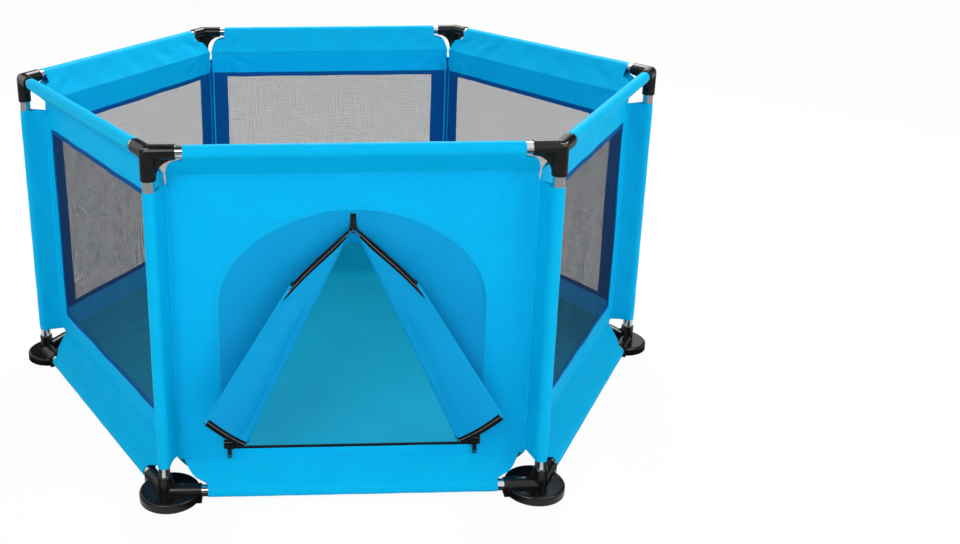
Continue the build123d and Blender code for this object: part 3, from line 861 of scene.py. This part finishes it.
def rolled(points):
    """Closed points of a flap rolled out about the first fold: the turn grows across the cloth."""
    rel = points[:, [0, 2]] - zip_top
    u, n = rel @ fold_over, axis_y - points[:, 1]
    low, high = np.zeros(len(points)), np.ones(len(points))
    for _ in range(40):
        share = (low + high) / 2
        u2, n2 = spin(u, n, share * open_angle)
        wanted = smooth((cos(roll_lean) * u2 + sin(roll_lean) * (n2 + axis_lift)) / roll_reach)
        low, high = np.where(wanted > share, share, low), np.where(wanted > share, high, share)
    return turn_about(points, zip_top, fold_down, high * open_angle)


def on_wall(places, lift=0.0):
    x, z = places.T
    return np.stack([x, x * 0 + wall_y - lift, z], axis=1)


def puff(places):
    """How far an open flap swells between its folds, towards the pen when the door is closed."""
    first = np.maximum((places - zip_top) @ fold_over, 0)
    second = np.maximum(-((places - tip_head) @ tip_over), 0)
    wide = first + second + 1e-9
    swell = 0.60 * first * second / wide
    swell *= 1 - 0.6 * np.exp(-(places[:, 1] - sill_z) / (30 * mm))
    return swell * smooth(-places[:, 0] / (60 * mm))


def on_flap(places, lift=0.0):
    points = on_wall(places, lift)
    points[:, 1] += puff(places)
    return points


def ruled(first, second, steps):
    """Grid of places between two lines of as many points."""
    share = np.linspace(0, 1, steps)[None, :, None]
    return first[:, None] * (1 - share) + second[:, None] * share


zip_room = 2.7 * mm
cloth_edge, cloth_sill = -zip_room, sill_z + zip_room


def on_fold(head, down, x=None, z=None):
    """Place on a fold line at a given x or z."""
    step = (x - head[0]) / down[0] if z is None else (z - head[1]) / down[1]
    return head + step * down


def for_side(name, points):
    """Points of the left side, mirrored for the right one."""
    return points * np.array((-1 if name == "right" else 1, 1, 1))


def rows_for(name, points, faces, flat):
    """Rows of the left side, mirrored and turned over for the right one."""
    return for_side(name, points), [f[::-1] for f in faces] if name == "right" else faces, flat


print("fold turns", round(open_angle, 3), "tuck", round(tuck_angle, 3), "axis lift", round(axis_lift / mm, 2), "mm")

# %% [markdown]
# ## Door surround
# Outside the folds the door's cloth stays on the wall. It fills the arch down to the sill on both sides, sewn under
# the hem.

# %% Cloth round the doorway
rows, columns = 90, 14
fold_line = np.linspace(zip_top, on_fold(zip_top, fold_down, z=cloth_sill), rows)
outline = arch(-edge_gap, cloth_sill)
left_outline = np.vstack([[(0, door_top - edge_gap)], outline[outline[:, 0] < -1e-6]])
left_outline = at_lengths(left_outline, np.linspace(0, run_lengths(left_outline)[-1], rows))
left_places = ruled(fold_line, left_outline, columns)
hold = np.sin(np.linspace(0, pi, columns))[None, :]
left = on_wall(left_places.reshape(-1, 2))
left[:, 1] += (0.8 * mm * hold * np.sin(30 * left_places[..., 1] + 12 * left_places[..., 0])).ravel()
flat = left[:, [0, 2]]
halves = [rows_for(name, left, grid_faces(rows, columns), flat * (way, 1))
          for name, way in (("left", 1), ("right", -1))]
surround = sew("door_surround_cloth", join_rows(halves), door_cloth, "door_cloth", cloth)
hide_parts("door_surround")
print("surround points", 2 * len(left))

# %% [markdown]
# ## Flaps
# A flap is two sheets that meet on a straight line where the roll has come all the way round. The inner one bends
# about the first fold, and the outer one carries the second fold and the tucked corner.

# %% Inner and outer sheet of a flap
start = on_fold(zip_top, fold_down, x=cloth_edge)
foot = on_fold(zip_top, fold_down, z=cloth_sill)
join_head = zip_top + join_reach * fold_over
join_top = on_fold(join_head, fold_down, x=cloth_edge)
join_foot = on_fold(join_head, fold_down, z=cloth_sill)
crease_top = on_fold(tip_head, tip_down, x=cloth_edge)
crease_foot = on_fold(tip_head, tip_down, z=cloth_sill)
corner = np.array((cloth_edge, cloth_sill))


def inner_flap(rows=110, steps=44):
    inner = np.linspace(start, foot, rows)
    bend = ((join_top - start) @ fold_down) / ((foot - start) @ fold_down)
    upper = round(bend * rows)
    outer = np.vstack([np.linspace(start, join_top, upper, endpoint=False),
                       np.linspace(join_top, join_foot, rows - upper)])
    places = ruled(inner, outer, steps)
    return places.reshape(-1, 2), grid_faces(rows, steps)


def outer_flap(rows=80, near=12, far=16):
    join = np.linspace(join_top, join_foot, rows)
    crease = np.linspace(crease_top, crease_foot, rows)
    edge = np.linspace(crease_top, corner, rows)
    flat_near, flat_far = ruled(join, crease, near), ruled(crease, edge, far)
    columns = [on_flap(flat_near[:, j]) for j in range(near)]
    columns.append(turn_about(on_wall(crease), tip_head, tip_down, tuck_angle / 2))
    columns += [turn_about(on_wall(flat_far[:, j]), tip_head, tip_down, tuck_angle) for j in range(far)]
    points = np.stack(columns, axis=1).reshape(-1, 3)
    flat = np.concatenate([flat_near, crease[:, None], flat_far], axis=1).reshape(-1, 2)
    points = turn_about(points, zip_top, fold_down, open_angle)
    return points, grid_faces(rows, near + 1 + far), flat


def move_points(piece, change):
    mesh = piece.data
    places = np.zeros(len(mesh.vertices) * 3)
    mesh.vertices.foreach_get("co", places)
    mesh.vertices.foreach_set("co", change(places.reshape(-1, 3)).ravel())
    mesh.update()


roll_start = np.array((zip_top[0], wall_y, zip_top[1]))
roll_way = np.array((fold_over[0] * cos(roll_lean), -sin(roll_lean), fold_over[1] * cos(roll_lean)))
roll_end = roll_start + roll_reach * roll_way
tuck_room = 1.0 * mm
tuck_ends = [np.array([(tip_head[0], axis_y + s * (axis_lift - tuck_room), tip_head[1])]) for s in (1, -1)]
tuck_ends = [turn_about(end, zip_top, fold_down, open_angle)[0] for end in tuck_ends]


def bend_inner(piece, name):
    ends = [for_side(name, end) for end in (roll_start, roll_end)]
    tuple(ends[0])
    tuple(ends[1])
    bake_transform(piece)


def bend_outer(piece, name):
    ends = [for_side(name, end) for end in tuck_ends]
    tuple(ends[0])
    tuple(ends[1])
    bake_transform(piece)


flaps = {}
for name in ("left", "right"):
    places, faces = inner_flap()
    rows = rows_for(name, on_flap(places), faces, places)
    inner = sew(f"{name}_flap_cloth", rows, door_cloth, "door_cloth", cloth, body=None)
    move_points(inner, lambda points: for_side(name, rolled(for_side(name, points))))
    soften(inner)
    rows = rows_for(name, *outer_flap())
    outer = sew(f"{name}_flap_tip_cloth", rows, door_cloth, "door_cloth", cloth, body=None)
    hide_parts(f"{name}_flap")
    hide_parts(f"{name}_flap_tip")
    bend_inner(inner, name)
    bend_outer(outer, name)
    flaps[name] = (inner, outer)
print("flaps", sorted(flaps))

# %% [markdown]
# ## Zips
# A coil zip is a woven tape with nylon teeth along one edge. A tooth is modelled once as a bevelled block, and copies
# stand along the tape, set out on one ruler and half a pitch apart on the two sides, so that they mesh.

# %% One tooth
bpy.ops.mesh.primitive_cube_add(size=1)
tooth_points, tooth_faces = bevelled(0.18)
print("faces of a tooth", len(tooth_faces))

# %% [markdown]
# ## Tapes
# One function lays out half a zip: the ribbon, the cord sewn along it and the teeth. A point of a section says where
# it lies across the ribbon, from 0 at the teeth to 1 at the far edge, a step in millimetres from there, and a lift.
# The ribbon has several points across, so that it follows the cloth round a fold. Its upper end can be narrow.

# %% Half a zip
tooth_pitch = 2.2 * mm
tooth_size = np.array((1.0, 3.6, 2.0)) * mm
half_gap = 1.2 * mm
tooth_set = -0.2 * mm
flap_tape, sill_tape, end_tape = 11.0, 4.4, 3.4
ribbon_face = [(s, -0.15 - 0.25 * s, 0.6 + 0.1 * s) for s in np.linspace(0, 1, 7)]
ribbon_section = [(0, -0.35, 0)] + ribbon_face + [(1, 0, 0)]
ribbon_section += [(s, step, -lift) for s, step, lift in ribbon_face[::-1]]
cord_corners = ((-1, 2), (1, 2), (1, -2), (-1, -2))
thick_cord, thin_cord = 0.35, 0.2
taper_rate = 2.2


def tape(start, end, outward, wide, shift=0.0, lay=on_wall, narrow=0.0):
    """Ribbon, teeth and cord of half a zip on the closed door."""
    start, end, outward = (np.asarray(v, float) for v in (start, end, outward))
    edge = np.linspace(start, end, max(2, ceil(norm(end - start) / tooth_pitch)))
    shown = wide - narrow * (1 - smooth(np.linspace(0, taper_rate, len(edge))))

    def line(share, step, lift):
        return lay(edge + (share * shown + step)[:, None] * mm * outward, lift * mm)

    ribbon = band([line(*c) for c in ribbon_section], False)
    cord_r = thick_cord if wide >= flap_tape else thin_cord
    cord = band([line(0.5, a * cord_r, b * cord_r) for a, b in cord_corners], False)
    along = unit(end - start)
    ruler = np.abs(along)
    low, high = sorted((start @ ruler, end @ ruler))
    places = tooth_pitch * (np.arange(low // tooth_pitch, high // tooth_pitch + 1) + shift)
    places = places[(places > low + tooth_size[0] / 2) & (places < high - tooth_size[0] / 2)]
    centre = start + (places - start @ ruler)[:, None] * ruler + tooth_set * outward
    block = tooth_points * tooth_size
    flat = centre[:, None] + block[None, :, :1] * along + block[None, :, 1:2] * outward
    points = lay(flat.reshape(-1, 2), np.tile(block[:, 2], len(places)))
    teeth = points, copies(tooth_faces, len(block), len(places)), flat.reshape(-1, 2)
    return ribbon, teeth, cord


def sew_zip(name, halves, change=None, side="left", **more):
    """Ribbons, teeth and cords of zip halves, as one piece with three finishes."""
    layers = [join_rows([h[k] for h in halves]) for k in range(3)]
    points, faces, flat = join_rows(layers)
    if change is not None:
        points = change(points)
    piece = sew(name, rows_for(side, points, faces, flat), tape_weave, "zip_tape", **more)
    for finish in (coil_nylon, cord_thread):
        piece.data.materials.append(finish)
    kinds = np.repeat([0, 1, 2], [len(layer[1]) for layer in layers])
    piece.data.polygons.foreach_set("material_index", kinds)
    return piece


print("tapes are", flap_tape, "mm wide on the flaps and", sill_tape, "mm below the sill")

# %% [markdown]
# ## Zip halves in place
# The upright zip and the sill zip each have two halves. Those on a flap are cut where the flap's two sheets meet and
# bend with them: they are laid out on the closed door and turned with the cloth. The sill's own half, the ends beyond
# the folds and the joined top of the upright zip stay put.

# %% Zip halves on the flaps and the fixed ones
upper_edge = sill_z + half_gap
lower_edge = sill_z - half_gap
split_z = tip_head[1]
split_x = join_foot[0]
stub_end = -199 * mm
zip_head, narrow_by = 4 * mm, 7.0
end_lap = 7 * mm
left_out, up, down = (-1, 0), (0, 1), (0, -1)


def tucked(points):
    """Closed points of a flap's outer part: tucked under past the second fold, then turned with the flap."""
    past = (points[:, [0, 2]] - tip_head) @ tip_over > 0
    points = turn_about(points, tip_head, tip_down, past * tuck_angle)
    return turn_about(points, zip_top, fold_down, open_angle)


for name in ("left", "right"):
    inner, outer = flaps[name]
    shift = 0.5 * (name == "right")
    inner_halves = [tape((-half_gap, zip_top[1] - zip_head), (-half_gap, split_z), left_out, flap_tape, shift,
                         on_flap, narrow=narrow_by),
                    tape((stub_end, upper_edge), (split_x, upper_edge), up, flap_tape, lay=on_flap)]
    outer_halves = [tape((-half_gap, split_z), (-half_gap, upper_edge), left_out, flap_tape, shift, on_flap),
                    tape((split_x, upper_edge), (-half_gap, upper_edge), up, flap_tape, lay=on_flap)]
    inner_zip = sew_zip(f"{name}_flap_zip_tape", inner_halves, rolled, name, body=None)
    outer_zip = sew_zip(f"{name}_tip_zip_tape", outer_halves, tucked, name, body=None)
    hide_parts(f"{name}_flap_zip")
    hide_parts(f"{name}_tip_zip")
    bend_inner(inner_zip, name)
    bend_outer(outer_zip, name)
    norm(foot - start)

door_edge = door_half - edge_gap
fixed = [tape((-door_edge, lower_edge), (door_edge, lower_edge), down, sill_tape, 0.5)]
end_low, end_high = zip_top[1] - end_lap, door_top - end_lap
for way in (-1, 1):
    fixed.append(tape((way * door_edge, upper_edge), (way * -stub_end, upper_edge), up, flap_tape))
    fixed.append(tape((way * half_gap, end_high), (way * half_gap, end_low), (way, 0), end_tape, 0.5 * (way > 0)))
fixed_zip = sew_zip("fixed_zip_tape", fixed)
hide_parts("fixed_zips")
print("zip pieces", [o.name for o in bpy.data.objects if "zip_tape" in o.name])
